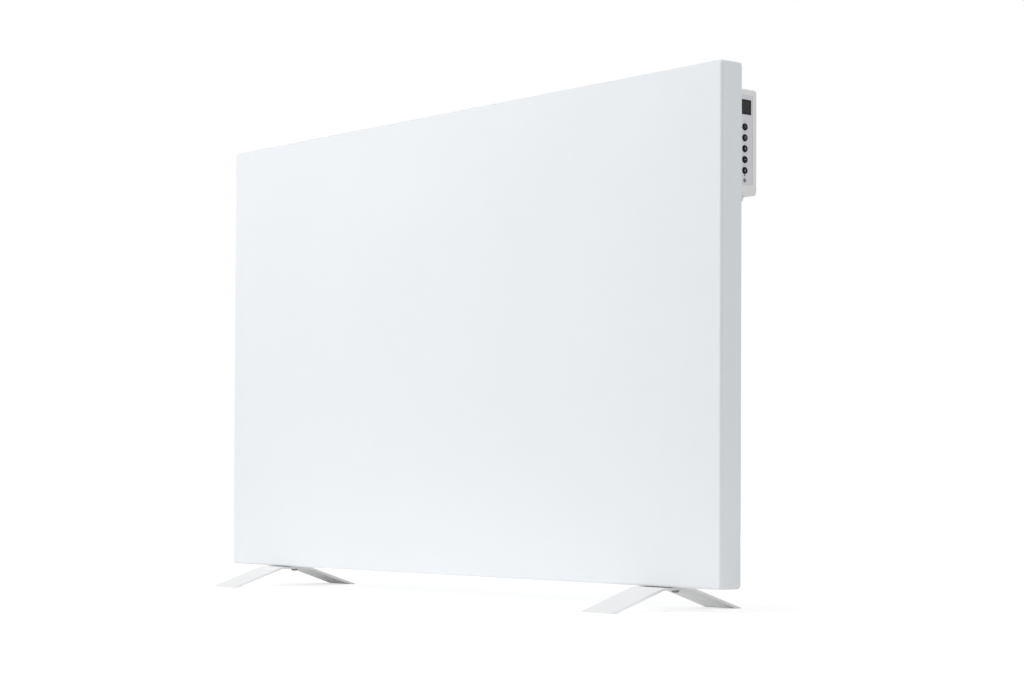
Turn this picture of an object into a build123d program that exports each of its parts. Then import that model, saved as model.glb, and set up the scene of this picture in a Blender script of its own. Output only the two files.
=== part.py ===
from build123d import *
import os
from math import atan, tan

# White steel wall panel heater standing on two bent strip feet.
#
# Millimetres. X runs along the width, Y from the radiating front face to the back, Z up.
# The origin is on the floor, midway between the feet and midway through the panel's depth.

os.makedirs("parts", exist_ok=True)

# ---------------------------------------------------------------- driving dimensions

# Panel
panel_width = 1000.0
panel_height = 600.0
panel_depth = 33.0
floor_gap = 28.0
tray_sheet = 1.2
cover_sheet = 1.0
cover_margin = 5.0
corner_radius = 5.0
front_fold = 3.6
rim_fold = 2.2
lip_width = 14.0

front_y = -panel_depth / 2
rim_y = panel_depth / 2
inner_front_y = front_y + tray_sheet
cover_face_y = rim_y + cover_sheet
panel_mid_z = floor_gap + panel_height / 2

# Back cover: vents and stiffening beads
vent_count = 14
vent_pitch = 40.0
vent_length = 34.0
vent_width = 4.5
vent_band_z = 245.0
bead_length = 620.0
bead_width = 18.0
bead_rise = 1.6
bead_pitch = 95.0

# Heating stack behind the front face
mat_width = 960.0
mat_height = 560.0
mat_thickness = 1.0
foil_thickness = 0.3
board_thickness = 11.6
tab_thickness = 0.6
foil_y = inner_front_y + mat_thickness
tab_y = foil_y + tab_thickness
wool_y = foil_y + foil_thickness
wool_back_y = wool_y + board_thickness

# Wiring window in the insulation, and what stands in it
wiring_x = 425.0
wiring_z = 532.0
wiring_width = 100.0
wiring_height = 84.0
tab_x = 386.0
cutout_z = 520.0
cutout_height = 9.0
blade_length = 4.5
blade_spread = 5.5
block_x = 412.0
block_z = 541.0
block_length = 32.0
pole_spread = 4.0
terminal_y = 9.0
lead_radius = 1.3
lead_bend = 4.0
earth_x = 447.5
earth_z = 507.0
ring_y = 13.5
ring_sheet = 1.0

# Fixing points on the panel
wall_pitch_x = 700.0
wall_pitch_z = 350.0
foot_offset_x = 388.0
foot_screw_pitch = 40.0
foot_screw_y = 2.0
screw_edge = 9.5

# Feet: one strip each, bent twice
foot_strip = 3.0
foot_width = 53.0
foot_half_length = 106.0
foot_flat_half = 23.0
foot_nut_flange = 0.8
foot_top_z = floor_gap - foot_nut_flange
foot_angle = atan(foot_top_z / (foot_half_length - foot_flat_half))

# Screws: head radius, head height, shank radius, length under the head
sheet_screw = (3.7, 2.1, 1.9, 7.5)
foot_screw = (4.75, 3.0, 2.45, 15.0)
base_screw = (3.5, 2.2, 1.9, 9.0)
box_screw = (2.8, 2.2, 1.4, 26.0)
power_screw = (2.5, 1.6, 1.25, 7.0)
control_screw = (2.0, 1.4, 0.95, 8.0)

# Rivet nuts: bore radius, flange radius, flange height, radius over the sleeve's corners, its length
wall_nut = (2.5, 7.0, 1.2, 4.9, 12.0)
foot_nut = (2.5, 5.4, foot_nut_flange, 4.0, 13.0)
nut_clearance = 0.1

# Control box on the back, its face looking sideways
box_face_x = 484.0
box_width = 66.0
box_depth = 40.0
box_bottom_z = 479.9
box_height = 122.4
box_wall = 2.2
base_plate = 3.0
box_radius = 4.0
back_fillet = 3.0
seam_chamfer = 0.4
tongue_rise = 4.0
tongue_wall = 1.5
tongue_clearance = 0.15
column_front = 9.7
well_depth = 8.0
box_mid_x = box_face_x - box_width / 2
box_mid_z = box_bottom_z + box_height / 2
box_back_y = cover_face_y + box_depth
shell_front_y = cover_face_y + base_plate
face_inner_x = box_face_x - box_wall

# What sits in the face of the control box
face_mid_y = 37.0
label_width = 25.2
label_height = 103.5
label_mid_z = 542.95
label_recess = 0.6
label_film = 0.3
window_width = 20.6
window_height = 17.3
window_mid_z = 580.95
lens_flange = 1.0
button_count = 5
button_pitch = 12.57
button_top_z = 557.8
button_hole = 8.3
button_cap = 7.7
button_flange = 4.8
button_proud = 1.0
light_z = 496.3
light_hole = 3.8

# Boards inside the control box
board = 1.6
control_board_x = 470.0
switch_x = control_board_x + board
switch_height = 3.4
plunger_tip_x = 477.0
plunger_length = 3.2
power_board_y = 28.0
power_face_y = power_board_y + board
screw_inset = 6.0

# Openings in the back and in the floor of the control box
grommet_x = 451.0
grommet_z = 541.0
grommet_hole = 7.0
gland_x = 465.0
gland_y = 44.0
gland_thread = 6.0
cable_bore = 3.6

BACK = (0, 1, 0)
FRONT = (0, -1, 0)
RIGHT = (1, 0, 0)
DOWN = (0, 0, -1)
UP = (0, 0, 1)


# ---------------------------------------------------------------- ways of making a solid

def along_y(outline, y_from, y_to, x=0.0, z=0.0):
    """A flat outline, drawn in X and Z, pushed back from one depth to another."""
    face = Plane((x, y_from, z), x_dir=RIGHT, z_dir=FRONT) * outline
    return extrude(face, y_to - y_from, dir=BACK)


def along_x(outline, x_from, x_to, y=0.0, z=0.0):
    """A flat outline, drawn in Y and Z, pushed to the right."""
    face = Plane((x_from, y, z), x_dir=BACK, z_dir=RIGHT) * outline
    return extrude(face, x_to - x_from, dir=RIGHT)


def along_z(outline, z_from, z_to, x=0.0, y=0.0):
    """A flat outline, drawn in X and Y, pushed up."""
    face = Plane((x, y, z_from), x_dir=RIGHT, z_dir=UP) * outline
    return extrude(face, z_to - z_from, dir=UP)


def cornered(width, height, cut):
    """Rectangle with its four corners cut off straight."""
    return chamfer(Rectangle(width, height).vertices(), cut)


def turned(outline, at, direction):
    """A turned piece: (radius, distance) points spun about the line from 'at'."""
    points = [(radius, 0, distance) for radius, distance in outline]
    body = revolve(make_face(Polyline(*points, close=True)), Axis.Z)
    return Plane(origin=at, z_dir=direction) * body


def small_hole(radius):
    """Outline of a small hole, with eight flats that touch the radius."""
    return RegularPolygon(radius, 8, major_radius=False)


def wire(points, radius, bend):
    """Insulated wire, drawn with eight flats, along straight runs joined by arcs."""
    path = FilletPolyline(*points, radius=bend)
    section = Plane(origin=path @ 0, z_dir=path % 0) * RegularPolygon(radius, 8)
    return sweep(section, path=path)


def pan_screw(size, at, direction):
    """Screw with a coned head; 'at' is under the head and the shank runs along 'direction'."""
    head_radius, head_height, shank_radius, length = size
    head_sides, shank_sides = 12, 6
    seat = RegularPolygon(head_radius, head_sides)
    crown = Pos(0, 0, -head_height) * RegularPolygon(0.7 * head_radius, head_sides)
    shank = extrude(RegularPolygon(shank_radius, shank_sides), length)
    return Plane(origin=at, z_dir=direction) * (loft([crown, seat], ruled=True) + shank)


def rivet_nut(size, at, direction):
    """Six-sided threaded sleeve; 'at' is under its round flange and it runs along 'direction'."""
    bore, flange_radius, flange_height, sleeve_radius, length = size
    flange = Cylinder(flange_radius, flange_height, align=(Align.CENTER, Align.CENTER, Align.MAX))
    sleeve = extrude(RegularPolygon(sleeve_radius, 6), length)
    core = Cylinder(bore, 2 * (flange_height + length))
    return Plane(origin=at, x_dir=RIGHT, z_dir=direction) * (flange + sleeve - core)


def group(solids):
    """Several separate solids kept in one node."""
    return Compound(children=list(solids))


# ---------------------------------------------------------------- shared places

def cover_screw_places():
    """(x, z) of the sheet screws round the back cover, on the tray's return lip."""
    half_x = panel_width / 2 - screw_edge
    half_z = panel_height / 2 - screw_edge
    columns = (-435.0, -145.0, 145.0, 435.0)
    places = [(x, panel_mid_z + side * half_z) for side in (-1, 1) for x in columns]
    return places + [(side * half_x, panel_mid_z) for side in (-1, 1)]


def wall_nut_places():
    """(x, z) of the four threaded wall fixings."""
    return [
        (side_x * wall_pitch_x / 2, panel_mid_z + side_z * wall_pitch_z / 2)
        for side_x in (-1, 1)
        for side_z in (-1, 1)
    ]


def foot_screw_places(sides=(-1, 1)):
    """(x, y) of the two screws in each foot."""
    return [
        (side * foot_offset_x + step * foot_screw_pitch / 2, foot_screw_y)
        for side in sides
        for step in (-1, 1)
    ]


def box_corner_places():
    """(x, z) of the four long screws that close the control box."""
    half_x = box_width / 2 - screw_inset
    half_z = box_height / 2 - screw_inset
    return [
        (box_mid_x + side_x * half_x, box_mid_z + side_z * half_z)
        for side_x in (-1, 1)
        for side_z in (-1, 1)
    ]


def box_base_places():
    """(x, z) of the four screws that hold the control box to the back cover."""
    half_z = 33.0
    return [(x, box_mid_z + side * half_z) for x in (430.0, 472.0) for side in (-1, 1)]


def power_post_places():
    """(x, z) of the two posts under the power board, at opposite corners."""
    half_z = 44.0
    return [(427.0, box_mid_z + half_z), (461.0, box_mid_z - half_z)]


def control_post_places():
    """(y, z) of the two posts that carry the control board behind the face."""
    half_y = 9.6
    return [(face_mid_y - half_y, 566.0), (face_mid_y + half_y, 502.0)]


def button_heights():
    """Z of each button's centre, from the top down."""
    return [button_top_z - index * button_pitch for index in range(button_count)]


# ---------------------------------------------------------------- panel

def front_tray():
    """One steel sheet: the front face, four folded sides and a return lip at the back."""
    outer = along_y(
        RectangleRounded(panel_width, panel_height, corner_radius),
        front_y, rim_y, z=panel_mid_z,
    )
    outer = fillet(outer.edges().group_by(Axis.Y)[0], front_fold)
    outer = fillet(outer.edges().group_by(Axis.Y)[-1], rim_fold)
    inner = along_y(
        RectangleRounded(
            panel_width - 2 * tray_sheet, panel_height - 2 * tray_sheet, corner_radius - tray_sheet
        ),
        inner_front_y, rim_y - tray_sheet, z=panel_mid_z,
    )
    inner = fillet(inner.edges().group_by(Axis.Y)[0], front_fold - tray_sheet)
    lip_y = rim_y - 2 * tray_sheet
    past_lip_y = rim_y + tray_sheet
    opening = along_y(
        Rectangle(panel_width - 2 * lip_width, panel_height - 2 * lip_width),
        lip_y, past_lip_y, z=panel_mid_z,
    )
    pilot = small_hole(sheet_screw[2] + 0.1)
    nut_hole = RegularPolygon(foot_nut[3] + nut_clearance, 6)
    holes = [along_y(pilot, lip_y, past_lip_y, x, z) for x, z in cover_screw_places()]
    holes += [
        along_z(nut_hole, floor_gap - tray_sheet, floor_gap + 2 * tray_sheet, x, y)
        for x, y in foot_screw_places()
    ]
    return outer - inner - opening - holes


def vent_slots():
    """Two bands of upright slots, low and high, that let air through behind the board."""
    corner_cut = 1.4
    outline = cornered(vent_width, vent_length, corner_cut)
    first_x = -(vent_count - 1) / 2 * vent_pitch
    return [
        along_y(
            outline, rim_y - cover_sheet, cover_face_y + cover_sheet,
            first_x + index * vent_pitch, panel_mid_z + side * vent_band_z,
        )
        for side in (-1, 1)
        for index in range(vent_count)
    ]


def bead(z):
    """Long raised bead that stiffens the back sheet: what to add and what to hollow out."""
    slope = 40
    shrink = 0.7
    outside = Plane((0, cover_face_y, z), x_dir=RIGHT, z_dir=BACK)
    crest = extrude(outside * SlotOverall(bead_length, bead_width), bead_rise, taper=slope)
    inside = Plane((0, rim_y, z), x_dir=RIGHT, z_dir=BACK)
    hollow = extrude(inside * SlotOverall(bead_length - shrink, bead_width - shrink), bead_rise, taper=slope)
    return crest, hollow


def rear_cover():
    """Flat steel back sheet, screwed to the lip, with vents, beads and fixing holes."""
    sheet = along_y(
        RectangleRounded(
            panel_width - 2 * cover_margin, panel_height - 2 * cover_margin, corner_radius
        ),
        rim_y, cover_face_y, z=panel_mid_z,
    )
    for step in (-bead_pitch, 0.0, bead_pitch):
        crest, hollow = bead(panel_mid_z + step)
        sheet = sheet + crest - hollow
    nut_hole = RegularPolygon(wall_nut[3] + nut_clearance, 6)
    holes = [(small_hole(sheet_screw[2] + 0.2), x, z) for x, z in cover_screw_places()]
    holes += [(nut_hole, x, z) for x, z in wall_nut_places()]
    holes += [(small_hole(base_screw[2] + 0.1), x, z) for x, z in box_base_places()]
    holes.append((Circle(grommet_hole), grommet_x, grommet_z))
    punched = [
        along_y(outline, rim_y - cover_sheet, cover_face_y + cover_sheet, x, z) for outline, x, z in holes
    ]
    return sheet - vent_slots() - punched


def rear_cover_screws():
    """Sheet screws round the edge of the back cover."""
    return group(pan_screw(sheet_screw, (x, cover_face_y, z), FRONT) for x, z in cover_screw_places())


def rail(side):
    """Upright hat-section rail behind the insulation; its crown backs the wall fixings."""
    sheet = 1.0
    brim, foot_line, crown_line = 30.0, 16.0, 14.0
    crown_y = rim_y - sheet / 2
    brim_y = wool_back_y + 0.1 + sheet / 2
    middle = Polyline(
        (-brim, brim_y), (-foot_line, brim_y), (-crown_line, crown_y),
        (crown_line, crown_y), (foot_line, brim_y), (brim, brim_y),
    )
    end_gap = 2.0
    length = panel_height - 2 * (lip_width + end_gap)
    x = side * wall_pitch_x / 2
    body = along_z(trace(middle, sheet), panel_mid_z - length / 2, panel_mid_z + length / 2, x=x)
    nut_hole = RegularPolygon(wall_nut[3] + nut_clearance, 6)
    holes = [
        along_y(nut_hole, rim_y - 3 * sheet, rim_y + sheet, nut_x, nut_z)
        for nut_x, nut_z in wall_nut_places()
        if nut_x * side > 0
    ]
    return body - holes


def wall_rivet_nuts():
    """Four M6 rivet nuts that clamp the cover to the rails; the bore is the thread's core."""
    return group(rivet_nut(wall_nut, (x, cover_face_y, z), FRONT) for x, z in wall_nut_places())


# ---------------------------------------------------------------- heating stack

def heating_mat():
    """Flexible resistance mat bonded to the back of the front face."""
    return along_y(Rectangle(mat_width, mat_height), inner_front_y, foil_y, z=panel_mid_z)


def backing(y_from, y_to):
    """Sheet behind the mat with the wiring window cut out."""
    sheet = along_y(Rectangle(mat_width, mat_height), y_from, y_to, z=panel_mid_z)
    window = Rectangle(wiring_width, wiring_height)
    return sheet - along_y(window, y_from - 1.0, y_to + 1.0, wiring_x, wiring_z)


def element_tab_heights():
    """Z of the mat's two brass tabs: one level with a pole, one below the cutout."""
    lower_z = 499.0
    return block_z + pole_spread, lower_z


def element_tabs():
    """Brass tabs at the two ends of the mat's resistance track."""
    return group(along_y(Rectangle(9.0, 15.0), foil_y, tab_y, tab_x, z) for z in element_tab_heights())


def thermal_cutout():
    """Round bimetal cutout with two blades, glued to the mat in the window."""
    base_radius, cap_radius, step = 8.0, 6.8, 4.8
    body = turned(
        [(0, 0), (base_radius, 0), (base_radius, step), (cap_radius, step), (cap_radius, cutout_height),
         (0, cutout_height)],
        (tab_x, foil_y, cutout_z), BACK,
    )
    blade_foot = foil_y + cutout_height - 1.0
    blade_tip = foil_y + cutout_height + blade_length
    for side in (-1, 1):
        body += along_y(Rectangle(5.0, 0.8), blade_foot, blade_tip, tab_x, cutout_z + side * blade_spread)
    return body


def terminal_block():
    """Two-pole ceramic block on the inside of the back cover."""
    front, well_floor = 4.5, 7.0
    block = along_y(Rectangle(block_length, 20.0), front, rim_y, block_x, block_z)
    bore = lead_radius + 0.3
    half_length = block_length / 2 + 1.0
    cuts = []
    for side in (-1, 1):
        pole_z = block_z + side * pole_spread
        cuts.append(along_x(Circle(bore), block_x - half_length, block_x + half_length, terminal_y, pole_z))
        for offset in (-9.0, 9.0):
            cuts.append(along_y(small_hole(2.1), front - 1.0, well_floor, block_x + offset, pole_z))
    return block - cuts


def element_leads():
    """Three leads that join the mat, the cutout and the terminal block in series."""
    blade_y = foil_y + cutout_height + blade_length
    upper_z, lower_z = element_tab_heights()
    upper_blade = cutout_z + blade_spread
    lower_blade = cutout_z - blade_spread
    pole_z = block_z - pole_spread
    entry_x = block_x - block_length / 2 + 4.0
    loop_y = 5.0
    routes = [
        [(tab_x, tab_y, upper_z), (tab_x, terminal_y, upper_z), (entry_x, terminal_y, upper_z)],
        [(tab_x, blade_y, upper_blade), (tab_x, terminal_y, upper_blade),
         (tab_x, terminal_y, pole_z), (entry_x, terminal_y, pole_z)],
        [(tab_x, blade_y, lower_blade), (tab_x, loop_y, lower_blade),
         (tab_x, loop_y, lower_z), (tab_x, tab_y, lower_z)],
    ]
    return group(wire(route, lead_radius, lead_bend) for route in routes)


def supply_leads():
    """Live and neutral leads from the power board to the terminal block."""
    entry_x = block_x + block_length / 2 - 4.0
    return group(
        wire(
            [(entry_x, terminal_y, z), (grommet_x, terminal_y, z), (grommet_x, power_board_y, z)],
            lead_radius, lead_bend,
        )
        for z in (block_z - pole_spread, block_z + pole_spread)
    )


def earth_lead():
    """Earth lead from the power board to a ring terminal on the cover's stud."""
    ring_radius, ring_bore = 4.5, 2.1
    tongue_z = earth_z + 7.0
    lead_end_z = earth_z + 9.0
    ring = along_y(Circle(ring_radius) - Circle(ring_bore), ring_y, ring_y + ring_sheet, earth_x, earth_z)
    tongue = along_y(Rectangle(3.4, 7.0), ring_y, ring_y + ring_sheet, earth_x, tongue_z)
    lead = wire(
        [(earth_x, power_board_y, grommet_z), (earth_x, ring_y, grommet_z), (earth_x, ring_y, lead_end_z)],
        lead_radius, lead_bend,
    )
    return lead + tongue + ring


def earth_stud():
    """Weld stud on the inside of the cover with its nut over the ring terminal."""
    foot_radius, stud_radius, stud_length = 4.5, 2.0, 9.0
    foot_height = rim_y - ring_y - ring_sheet
    stud = turned(
        [(0, 0), (foot_radius, 0), (foot_radius, foot_height), (stud_radius, foot_height),
         (stud_radius, stud_length), (0, stud_length)],
        (earth_x, rim_y, earth_z), FRONT,
    )
    nut_height = 3.2
    nut_outline = RegularPolygon(4.0, 6) - Circle(stud_radius + 0.05)
    nut = along_y(nut_outline, ring_y - nut_height, ring_y, earth_x, earth_z)
    return group([stud, nut])


def lead_grommet():
    """Rubber ring in the back cover where the leads pass into the control box."""
    bore, lip, neck, lip_height = 5.6, 8.4, 6.9, 1.4
    profile = [
        (bore, -lip_height), (lip, -lip_height), (lip, 0), (neck, 0),
        (neck, cover_sheet), (lip, cover_sheet), (lip, cover_sheet + lip_height),
        (bore, cover_sheet + lip_height),
    ]
    return turned(profile, (grommet_x, rim_y, grommet_z), BACK)


# ---------------------------------------------------------------- feet

def foot(side):
    """Steel strip bent into a wide inverted V with a flat top; both ends are cut to lie flat."""
    outer_bend, inner_bend, plan_corner = 5.0, 2.0, 3.0
    under_top_z = foot_top_z - foot_strip
    back_set = foot_strip * tan(foot_angle / 2)
    inner_flat = foot_flat_half - back_set
    inner_tip = inner_flat + under_top_z / tan(foot_angle)
    outline = make_face(
        Polyline(
            (-foot_half_length, 0), (-foot_flat_half, foot_top_z),
            (foot_flat_half, foot_top_z), (foot_half_length, 0),
            (inner_tip, 0), (inner_flat, under_top_z),
            (-inner_flat, under_top_z), (-inner_tip, 0),
            close=True,
        )
    )
    outline = fillet(outline.vertices().group_by(Axis.Y)[-1], outer_bend)
    under_bends = outline.vertices().filter_by(lambda corner: abs(corner.Y - under_top_z) < 0.01)
    outline = fillet(under_bends, inner_bend)
    x = side * foot_offset_x
    strip = along_x(outline, x - foot_width / 2, x + foot_width / 2)
    plan = RectangleRounded(foot_width, 2 * foot_half_length, plan_corner)
    strip = strip & along_z(plan, -1.0, floor_gap, x=x)
    hole = small_hole(foot_screw[2] + 0.25)
    return strip - [
        along_z(hole, under_top_z - 1.0, floor_gap, screw_x, screw_y)
        for screw_x, screw_y in foot_screw_places([side])
    ]


def foot_screws():
    """Four M5 screws, two up through each foot."""
    seat_z = foot_top_z - foot_strip
    return group(pan_screw(foot_screw, (x, y, seat_z), UP) for x, y in foot_screw_places())


def foot_rivet_nuts():
    """Four M5 rivet nuts in the bottom of the tray; their flanges space the feet off it."""
    return group(rivet_nut(foot_nut, (x, y, floor_gap), UP) for x, y in foot_screw_places())


# ---------------------------------------------------------------- control box housing

def control_base():
    """Moulded plate on the back cover, with a tongue inside the cover and screw posts."""
    plate = along_y(
        RectangleRounded(box_width, box_height, box_radius), cover_face_y, shell_front_y, box_mid_x, box_mid_z
    )
    plate = chamfer(plate.edges().group_by(Axis.Y)[-1], seam_chamfer)
    tongue_x = box_width - 2 * (box_wall + tongue_clearance)
    tongue_z = box_height - 2 * (box_wall + tongue_clearance)
    corner_cut = 1.4
    tongue = cornered(tongue_x, tongue_z, corner_cut)
    tongue -= Rectangle(tongue_x - 2 * tongue_wall, tongue_z - 2 * tongue_wall)
    root_y = shell_front_y - 0.5
    pilot_y = shell_front_y + 1.0
    corner_top_y = shell_front_y + column_front - 0.2
    body = plate + along_y(tongue, root_y, shell_front_y + tongue_rise, box_mid_x, box_mid_z)
    posts = [along_y(Circle(3.5), root_y, corner_top_y, x, z) for x, z in box_corner_places()]
    posts += [along_y(Circle(3.2), root_y, power_board_y, x, z) for x, z in power_post_places()]
    through = (cover_face_y - 1.0, shell_front_y + 1.0)
    corner_pilot = small_hole(box_screw[2] + 0.1)
    power_pilot = small_hole(power_screw[2] + 0.05)
    base_hole = small_hole(base_screw[2] + 0.2)
    holes = [along_y(corner_pilot, pilot_y, corner_top_y + 1.0, x, z) for x, z in box_corner_places()]
    holes += [along_y(power_pilot, pilot_y, power_board_y + 1.0, x, z) for x, z in power_post_places()]
    holes += [along_y(base_hole, *through, x, z) for x, z in box_base_places()]
    holes.append(along_y(Circle(grommet_hole + 1.8), *through, grommet_x, grommet_z))
    return body + posts - holes


def housing_shell():
    """Deep rounded shell of the control box, open towards the panel: outside and inside."""
    outer = along_y(
        RectangleRounded(box_width, box_height, box_radius), shell_front_y, box_back_y, box_mid_x, box_mid_z
    )
    outer = fillet(outer.edges().group_by(Axis.Y)[-1], back_fillet)
    outer = chamfer(outer.edges().group_by(Axis.Y)[0], seam_chamfer)
    inner = along_y(
        RectangleRounded(box_width - 2 * box_wall, box_height - 2 * box_wall, box_radius - box_wall),
        shell_front_y - 1.0, box_back_y - box_wall, box_mid_x, box_mid_z,
    )
    return outer, inner


def screw_columns():
    """Four hollow columns that carry the closing screws: the posts, and the holes down them."""
    column_front_y = shell_front_y + column_front
    seat_y = box_back_y - well_depth
    column, well, hole = 3.75, box_screw[0] + 0.3, small_hole(box_screw[2] + 0.3)
    posts = [along_y(Circle(column), column_front_y, box_back_y - 1.5, x, z) for x, z in box_corner_places()]
    cuts = [along_y(Circle(well), seat_y, box_back_y + 1.0, x, z) for x, z in box_corner_places()]
    cuts += [along_y(hole, column_front_y - 1.0, seat_y + 1.0, x, z) for x, z in box_corner_places()]
    return posts, cuts


def face_features():
    """What is moulded behind the face: the guide for the buttons and two board posts."""
    heights = button_heights()
    guide_width, guide_depth = 12.6, 2.0
    guide_mid = (heights[0] + heights[-1]) / 2
    guide_height = heights[0] - heights[-1] + guide_width
    root_x = face_inner_x + 0.5
    guide = along_x(
        cornered(guide_width, guide_height, 3.0), face_inner_x - guide_depth, root_x, face_mid_y, guide_mid
    )
    pocket = button_flange + 0.3
    guide -= [along_x(Circle(pocket), face_inner_x - 3.0, face_inner_x, face_mid_y, z) for z in heights]
    posts = [along_x(Circle(2.6), switch_x, root_x, y, z) for y, z in control_post_places()]
    pilot = small_hole(control_screw[2] + 0.05)
    pilots = [along_x(pilot, switch_x - 1.0, face_inner_x - 1.0, y, z) for y, z in control_post_places()]
    return [guide] + posts, pilots


def face_openings():
    """Recess for the label, and the holes for the window, the buttons and the light."""
    recess = RectangleRounded(label_width, label_height, 1.2)
    through = (face_inner_x - 1.0, box_face_x + 1.0)
    window = RectangleRounded(window_width, window_height, 0.8)
    cuts = [
        along_x(recess, box_face_x - label_recess, box_face_x + 1.0, face_mid_y, label_mid_z),
        along_x(window, *through, face_mid_y, window_mid_z),
        along_x(Circle(light_hole / 2), *through, face_mid_y, light_z),
    ]
    cuts += [along_x(Circle(button_hole / 2), *through, face_mid_y, z) for z in button_heights()]
    return cuts


def air_slots():
    """Narrow slots in the floor and the roof of the control box for the room sensor."""
    slot_pitch, first_x, slot_mid_y = 5.0, 428.0, 40.0
    reach = 2 * box_wall
    return [
        along_z(Rectangle(1.8, 14.0), z - reach, z + reach, first_x + index * slot_pitch, slot_mid_y)
        for z in (box_bottom_z, box_bottom_z + box_height)
        for index in range(5)
    ]


def gland_seat():
    """Hole in the floor of the control box for the gland's threaded neck."""
    below = box_bottom_z - 1.0
    above = box_bottom_z + box_wall + 1.0
    return along_z(Circle(gland_thread + 0.1), below, above, gland_x, gland_y)


def control_cover():
    """Moulded cover of the control box: shell, columns, guides, recess and openings."""
    outer, inner = housing_shell()
    columns, wells = screw_columns()
    guides, pilots = face_features()
    body = outer - inner
    for solid in columns + guides:
        body += solid & outer
    return body - (wells + pilots + face_openings() + air_slots() + [gland_seat()])


def base_screws():
    """Four screws through the box's base plate into the back cover."""
    return group(pan_screw(base_screw, (x, shell_front_y, z), FRONT) for x, z in box_base_places())


def cover_screws():
    """Four long screws down the columns of the box's cover."""
    seat_y = box_back_y - well_depth
    return group(pan_screw(box_screw, (x, seat_y, z), FRONT) for x, z in box_corner_places())


def cable_gland():
    """Tapered bush in the floor of the box, with the bore that the supply cable enters by."""
    collar, collar_height, tip, tip_height, neck = 7.5, 1.6, 4.7, 8.0, 6.2
    profile = [
        (cable_bore, tip_height), (cable_bore, -neck), (gland_thread, -neck), (gland_thread, 0),
        (collar, 0), (collar, collar_height), (tip, tip_height),
    ]
    return turned(profile, (gland_x, gland_y, box_bottom_z), DOWN)


def gland_nut():
    """Hexagon nut that draws the bush up against the floor of the box."""
    seat_z = box_bottom_z + box_wall
    nut_height = 3.0
    outline = RegularPolygon(7.8, 6) - Circle(gland_thread + 0.05)
    return along_z(outline, seat_z, seat_z + nut_height, gland_x, gland_y)


# ---------------------------------------------------------------- face of the control box

def face_label():
    """Printed film in the recess, cut out round the window, the buttons and the light."""
    edge_gap, hole_gap = 0.15, 0.1
    film = RectangleRounded(label_width - 2 * edge_gap, label_height - 2 * edge_gap, 1.1)
    film -= Pos(0, window_mid_z - label_mid_z) * Rectangle(
        window_width + 2 * hole_gap, window_height + 2 * hole_gap
    )
    film -= Pos(0, light_z - label_mid_z) * Circle(light_hole / 2 + hole_gap)
    for z in button_heights():
        film -= Pos(0, z - label_mid_z) * Circle(button_hole / 2 + hole_gap)
    floor_x = box_face_x - label_recess
    return along_x(film, floor_x, floor_x + label_film, face_mid_y, label_mid_z)


def display_window():
    """Smoked lens with a flange behind the face."""
    gap, overlap = 0.15, 1.1
    back_x = face_inner_x - lens_flange
    front_x = box_face_x - label_recess + label_film + 0.1
    lens = along_x(
        RectangleRounded(window_width - 2 * gap, window_height - 2 * gap, 0.7),
        back_x, front_x, face_mid_y, window_mid_z,
    )
    flange = along_x(
        Rectangle(window_width + 2 * overlap, window_height + 2 * overlap),
        back_x, face_inner_x, face_mid_y, window_mid_z,
    )
    return lens + flange


def display_module():
    """Digit display on the control board, right behind the lens."""
    top_x = face_inner_x - lens_flange - 0.2
    return along_x(Rectangle(19.0, 15.5), switch_x, top_x, face_mid_y, window_mid_z)


def button(z):
    """Round push button: cap, retaining flange and stem."""
    stem_radius, flange_gap, flange_height, edge_cut = 2.0, 1.2, 1.0, 0.6
    cap_radius = button_cap / 2
    stem = face_inner_x - flange_gap - plunger_tip_x
    flange = stem + flange_height
    top = box_face_x + button_proud - plunger_tip_x
    profile = [
        (0, 0), (stem_radius, 0), (stem_radius, stem), (button_flange, stem), (button_flange, flange),
        (cap_radius, flange), (cap_radius, top - edge_cut), (cap_radius - edge_cut, top), (0, top),
    ]
    return turned(profile, (plunger_tip_x, face_mid_y, z), RIGHT)


def plunger(z):
    """Eight-sided actuator of the switch behind a button; it moves with the button's stem."""
    plunger_radius = 1.7
    tip_x = plunger_tip_x - plunger_length
    return along_x(RegularPolygon(plunger_radius, 8), tip_x, plunger_tip_x, face_mid_y, z)


def tact_switches():
    """Five switch bodies on the control board, each with a well for its plunger."""
    side, well_radius, well_floor = 6.2, 1.9, 1.5
    top_x = switch_x + switch_height
    return group(
        along_x(Rectangle(side, side), switch_x, top_x, face_mid_y, z)
        - along_x(small_hole(well_radius), switch_x + well_floor, top_x + 1.0, face_mid_y, z)
        for z in button_heights()
    )


def status_light():
    """Light pipe from the control board to the small round window under the buttons."""
    foot_radius, foot_height, pipe_radius, edge_cut = 2.6, 2.0, 1.75, 0.5
    length = box_face_x + 0.2 - switch_x
    profile = [
        (0, 0), (foot_radius, 0), (foot_radius, foot_height), (pipe_radius, foot_height),
        (pipe_radius, length - edge_cut), (pipe_radius - edge_cut, length), (0, length),
    ]
    return turned(profile, (switch_x, face_mid_y, light_z), RIGHT)


# ---------------------------------------------------------------- boards and what they carry

def control_board():
    """Upright board behind the face, held on two posts."""
    width, height, mid_y, mid_z = 29.0, 104.0, 38.5, 544.0
    sheet = along_x(Rectangle(width, height), control_board_x, switch_x, mid_y, mid_z)
    hole = small_hole(control_screw[2] + 0.3)
    return sheet - [
        along_x(hole, control_board_x - 1.0, switch_x + 1.0, y, z) for y, z in control_post_places()
    ]


def board_screws():
    """Two small screws through the control board into its posts."""
    return group(pan_screw(control_screw, (control_board_x, y, z), RIGHT) for y, z in control_post_places())


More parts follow.
